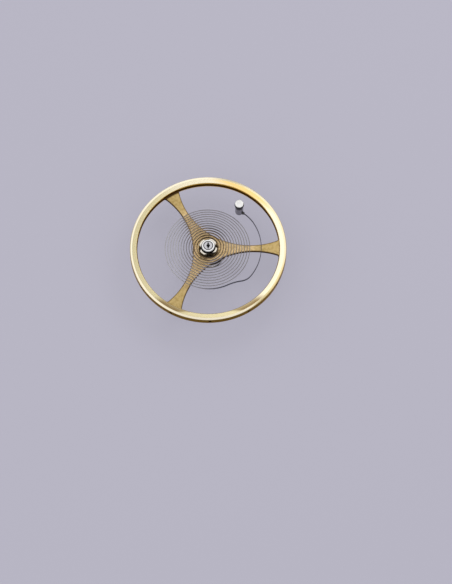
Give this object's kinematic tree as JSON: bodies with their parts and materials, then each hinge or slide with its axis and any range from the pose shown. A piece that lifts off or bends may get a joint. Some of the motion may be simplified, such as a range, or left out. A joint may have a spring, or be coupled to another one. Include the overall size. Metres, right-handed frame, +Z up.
{
  "type": "balance wheel",
  "caption": "Watch balance: three-arm gilt wheel on a pivoted staff with double roller and jewel, flat hairspring on a lobed collet, and headed stud.",
  "frame": {"origin": "tip of the lower pivot, on the staff's axis", "axes": "+Z up the staff towards the hairspring and the upper pivot, +X along one of the wheel's three arms"},
  "size_m": [0.01, 0.01, 0.0034],
  "materials": {
    "gilt_brass": "gilt: polished rim, matte grained arms",
    "polished_steel": "polished",
    "roller_steel": "fine turned",
    "ruby": "polished synthetic ruby",
    "shellac": "brown resin",
    "spring_alloy": "cold-rolled strip, grey",
    "stud_steel": "polished head, fine turned body",
    "dark_adhesive": "near-black resin"
  },
  "bodies": {
    "stud_and_spring": {"stud": "stud_steel", "stud_adhesive": "dark_adhesive", "hairspring": "spring_alloy"},
    "balance": {"balance_wheel": "gilt_brass", "balance_staff": "polished_steel", "double_roller": "roller_steel", "impulse_jewel": "ruby", "jewel_shellac": "shellac", "collet": "polished_steel"}
  },
  "joints": [
    {"name": "balance_oscillation", "type": "hinge", "parent": "stud_and_spring", "child": "balance", "pos_m": [0, 0, 0], "axis": [0, 0, 1], "range_deg": [-310, 310], "stiffness_Nm_per_rad": 0.00000087, "deforming": ["hairspring"]}
  ]
}
